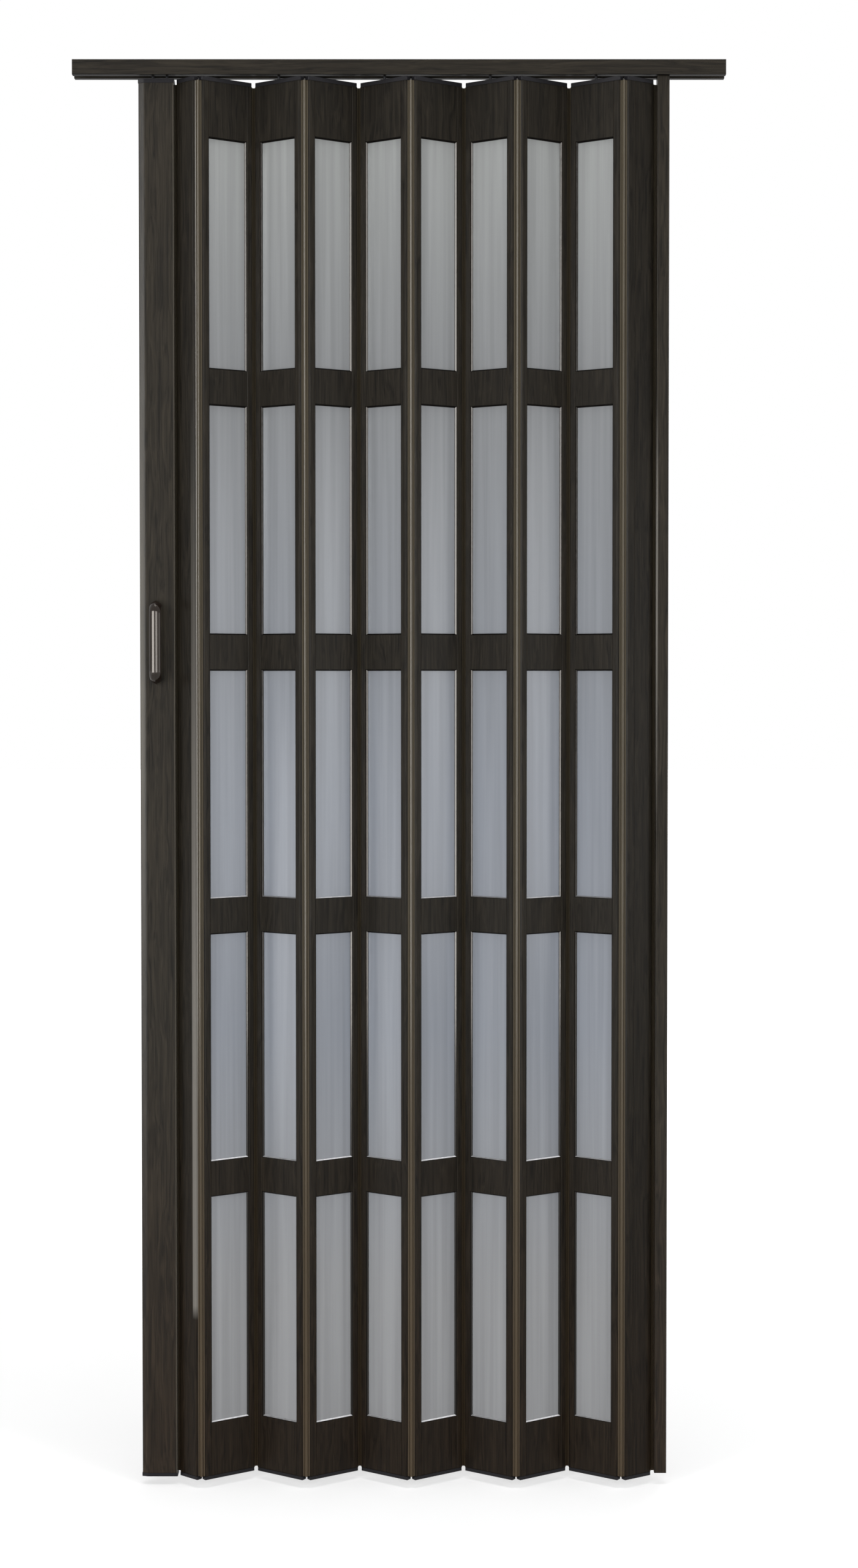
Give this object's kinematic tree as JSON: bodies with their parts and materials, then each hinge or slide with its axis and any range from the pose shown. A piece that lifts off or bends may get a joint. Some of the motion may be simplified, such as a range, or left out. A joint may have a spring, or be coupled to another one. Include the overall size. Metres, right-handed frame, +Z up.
{
  "type": "folding door",
  "caption": "Accordion folding door, half folded: narrow dark wood-look panels with rows of frosted windows, hinged along their edges and hung from a slotted top rail, with a bow pull handle.",
  "frame": {"origin": "centre of the top rail's top face, which goes against the head of the opening", "axes": "+X along the rail from the handle post to the wall post, +Y away from the front side that carries the pull handle, +Z up"},
  "size_m": [0.924, 0.0654, 2.02],
  "materials": {
    "wood_foil": "dark wenge wood-look foil on rigid plastic, satin",
    "handle": "dark brown, glossy",
    "frosted_pane": "translucent grey, frosted",
    "bead": "dark wood-look foil on sloped plastic, satin",
    "hinge_strip": "soft taupe plastic, satin",
    "end_cap": "black, satin",
    "glider": "dark grey nylon, satin"
  },
  "bodies": {
    "root": {"top_rail": "wood_foil", "handle_post": "wood_foil", "wall_post": "wood_foil", "pull_handle": "handle", "panel_1_stiles": "wood_foil", "panel_1_rails": "wood_foil", "panel_1_panes": "frosted_pane", "panel_1_beads": "bead", "panel_2_stiles": "wood_foil", "panel_2_rails": "wood_foil", "panel_2_panes": "frosted_pane", "panel_2_beads": "bead", "panel_3_stiles": "wood_foil", "panel_3_rails": "wood_foil", "panel_3_panes": "frosted_pane", "panel_3_beads": "bead", "panel_4_stiles": "wood_foil", "panel_4_rails": "wood_foil", "panel_4_panes": "frosted_pane", "panel_4_beads": "bead", "panel_5_stiles": "wood_foil", "panel_5_rails": "wood_foil", "panel_5_panes": "frosted_pane", "panel_5_beads": "bead", "panel_6_stiles": "wood_foil", "panel_6_rails": "wood_foil", "panel_6_panes": "frosted_pane", "panel_6_beads": "bead", "panel_7_stiles": "wood_foil", "panel_7_rails": "wood_foil", "panel_7_panes": "frosted_pane", "panel_7_beads": "bead", "panel_8_stiles": "wood_foil", "panel_8_rails": "wood_foil", "panel_8_panes": "frosted_pane", "panel_8_beads": "bead", "handle_end_panel": "wood_foil", "wall_end_panel": "wood_foil", "front_hinge_strips": "hinge_strip", "back_hinge_strips": "hinge_strip", "top_caps": "end_cap", "bottom_caps": "end_cap", "gliders": "glider"}
  },
  "joints": []
}
